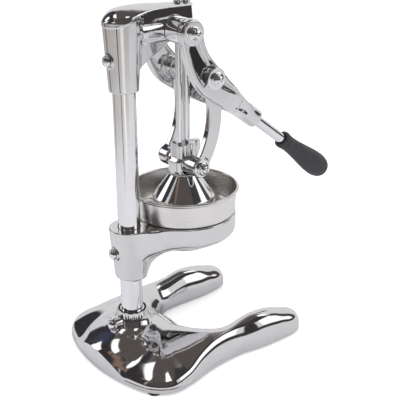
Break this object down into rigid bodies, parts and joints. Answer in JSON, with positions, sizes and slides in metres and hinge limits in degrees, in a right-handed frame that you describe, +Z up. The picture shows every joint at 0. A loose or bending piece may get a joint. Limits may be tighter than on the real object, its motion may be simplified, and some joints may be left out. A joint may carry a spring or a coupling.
{
  "type": "lever citrus juice press",
  "caption": "Countertop lever press: a forked lever drives a hollow cone down on guide rods over a ribbed cone in a strainer bowl, on a post with a toed base.",
  "frame": {"origin": "middle of the whole press's footprint, on the surface it stands on", "axes": "+X from the post towards the handle, +Y to the right of a user who faces the post, +Z up along the post"},
  "size_m": [0.363, 0.1992, 0.4057],
  "materials": {
    "chrome": "polished bright",
    "cast_chrome": "chromed casting, slightly soft reflections",
    "satin_steel": "satin stainless steel",
    "cast_aluminium": "plain cast, satin",
    "black_plastic": "fine matt texture, charcoal",
    "rubber": "plain matt"
  },
  "bodies": {
    "stand": {"base_casting": "cast_chrome", "base_set_screw": "chrome", "foot_front_left": "rubber", "foot_front_right": "rubber", "foot_rear_left": "rubber", "foot_rear_right": "rubber", "post_tube": "chrome", "bracket_casting": "cast_chrome", "bracket_set_screw": "chrome", "juice_bowl": "satin_steel", "strainer_plate": "satin_steel", "reaming_cone": "cast_aluminium", "head_casting": "cast_chrome", "head_set_screw": "chrome", "top_pivot_shaft": "chrome", "pivot_collar_left": "chrome", "pivot_collar_right": "chrome", "top_washer_left": "chrome", "top_washer_right": "chrome", "top_nut_left": "chrome", "top_nut_right": "chrome"},
    "lever": {"lever_fork": "cast_chrome", "handle_rod": "chrome", "grip_ferrule": "black_plastic", "handle_grip": "black_plastic", "mid_bolt_left": "chrome", "mid_bolt_right": "chrome", "mid_washer_left": "chrome", "mid_washer_right": "chrome", "mid_nut_left": "chrome", "mid_nut_right": "chrome"},
    "links": {"link_left": "cast_chrome", "link_right": "cast_chrome", "low_pin_left": "chrome", "low_pin_right": "chrome", "low_washer_left": "chrome", "low_washer_right": "chrome", "low_nut_left": "chrome", "low_nut_right": "chrome"},
    "press": {"press_neck": "cast_chrome", "press_cone": "chrome", "cone_bolt": "satin_steel", "guide_rod_rear": "chrome", "guide_rod_front": "chrome", "rod_stop_screw_rear": "chrome", "rod_stop_screw_front": "chrome"}
  },
  "joints": [
    {"name": "lever_hinge", "type": "hinge", "parent": "stand", "child": "lever", "pos_m": [-0.06848, 0, 0.377], "axis": [0, -1, 0], "range_deg": [0, 60]},
    {"name": "link_hinge", "type": "hinge", "parent": "lever", "child": "links", "pos_m": [-0.03848, 0, 0.325], "axis": [0, -1, 0], "range_deg": [-77.7, 0]},
    {"name": "press_slide", "type": "slide", "parent": "stand", "child": "press", "axis": [0, 0, 1], "range_m": [0, 0.0606]}
  ],
  "couplings": [
    {"joint": "link_hinge", "follows": "lever_hinge", "ratio": -1.2941},
    {"joint": "press_slide", "follows": "lever_hinge", "m_per_rad": 0.057797}
  ]
}
